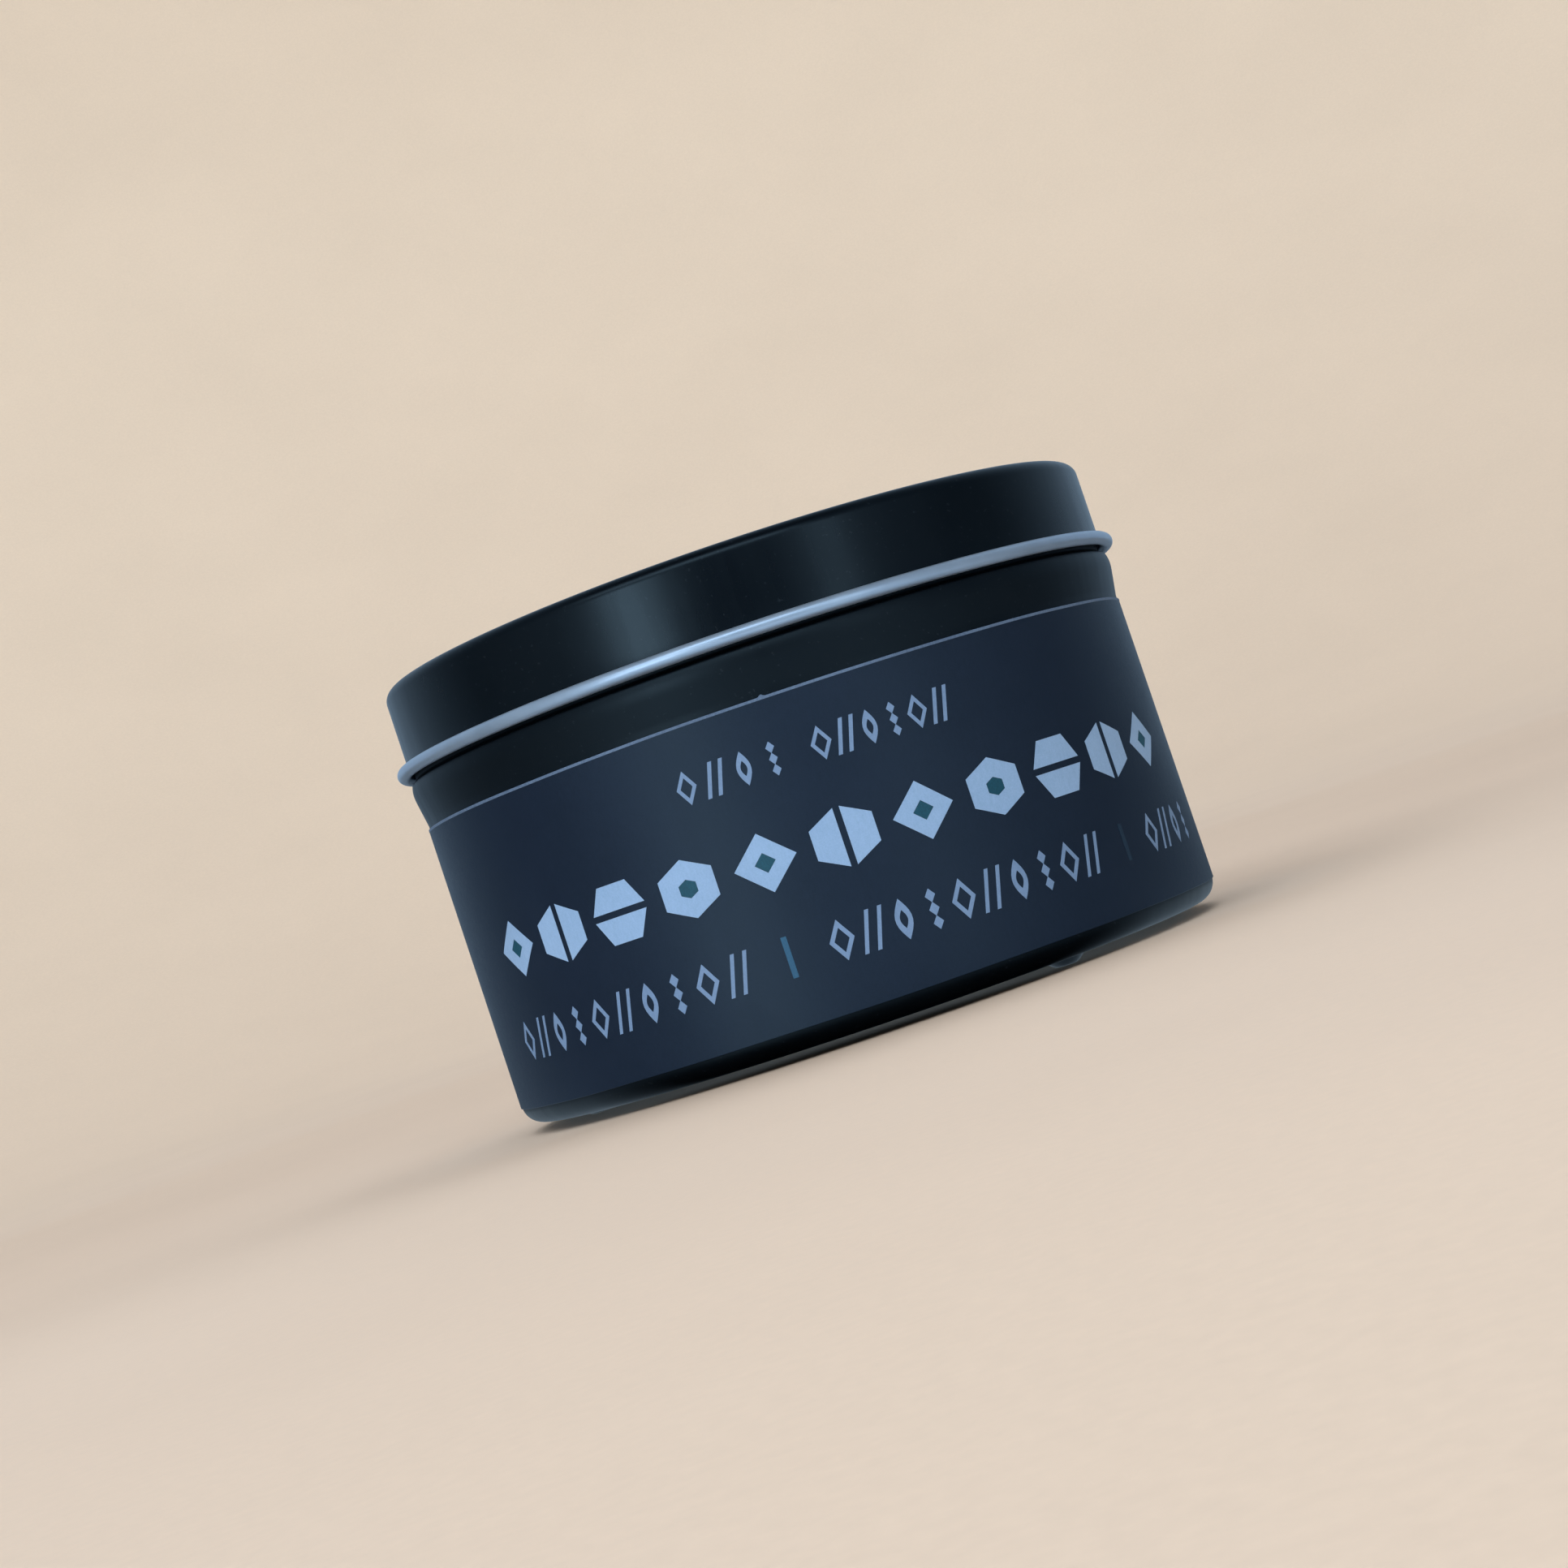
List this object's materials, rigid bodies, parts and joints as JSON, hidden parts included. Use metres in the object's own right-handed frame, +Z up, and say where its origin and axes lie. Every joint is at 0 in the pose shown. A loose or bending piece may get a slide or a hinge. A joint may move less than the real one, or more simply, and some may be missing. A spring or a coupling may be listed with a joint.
{
  "type": "round slip-lid tin jar",
  "caption": "Low round sheet-metal cream jar with a rolled-edge slip-over lid, a stop bulge, a wrap label, a sealing disc and pressed feet.",
  "frame": {"origin": "centre of the base on the plane of the three feet", "axes": "+Z up along the axis of the tin, -Y towards the front of the label, +X to the right seen from the front"},
  "size_m": [0.086, 0.086, 0.0525],
  "materials": {
    "lacquered_tinplate": "satin black lacquer on tinplate",
    "white_foam": "fine closed-cell foam",
    "clear_plastic": "translucent milky plastic",
    "cream": "soft glossy off-white cream",
    "label_paper": "matt dark blue coated paper",
    "label_print": "pale blue printed ink",
    "sticker_paper": "white matt sticker paper"
  },
  "bodies": {
    "jar": {"tin_body": "lacquered_tinplate", "cream_fill": "cream", "wrap_label": "label_paper", "base_label": "sticker_paper"},
    "lid": {"lid_shell": "lacquered_tinplate", "lid_liner": "white_foam"},
    "disc": {"sealing_disc": "clear_plastic"}
  },
  "joints": [
    {"name": "lid_lift", "type": "slide", "parent": "jar", "child": "lid", "axis": [0, 0, 1], "range_m": [0, 0.08]},
    {"name": "disc_lift", "type": "slide", "parent": "jar", "child": "disc", "axis": [0, 0, 1], "range_m": [0, 0.04]}
  ],
  "couplings": [
    {"joint": "disc_lift", "follows": "lid_lift", "ratio": 0.5}
  ]
}
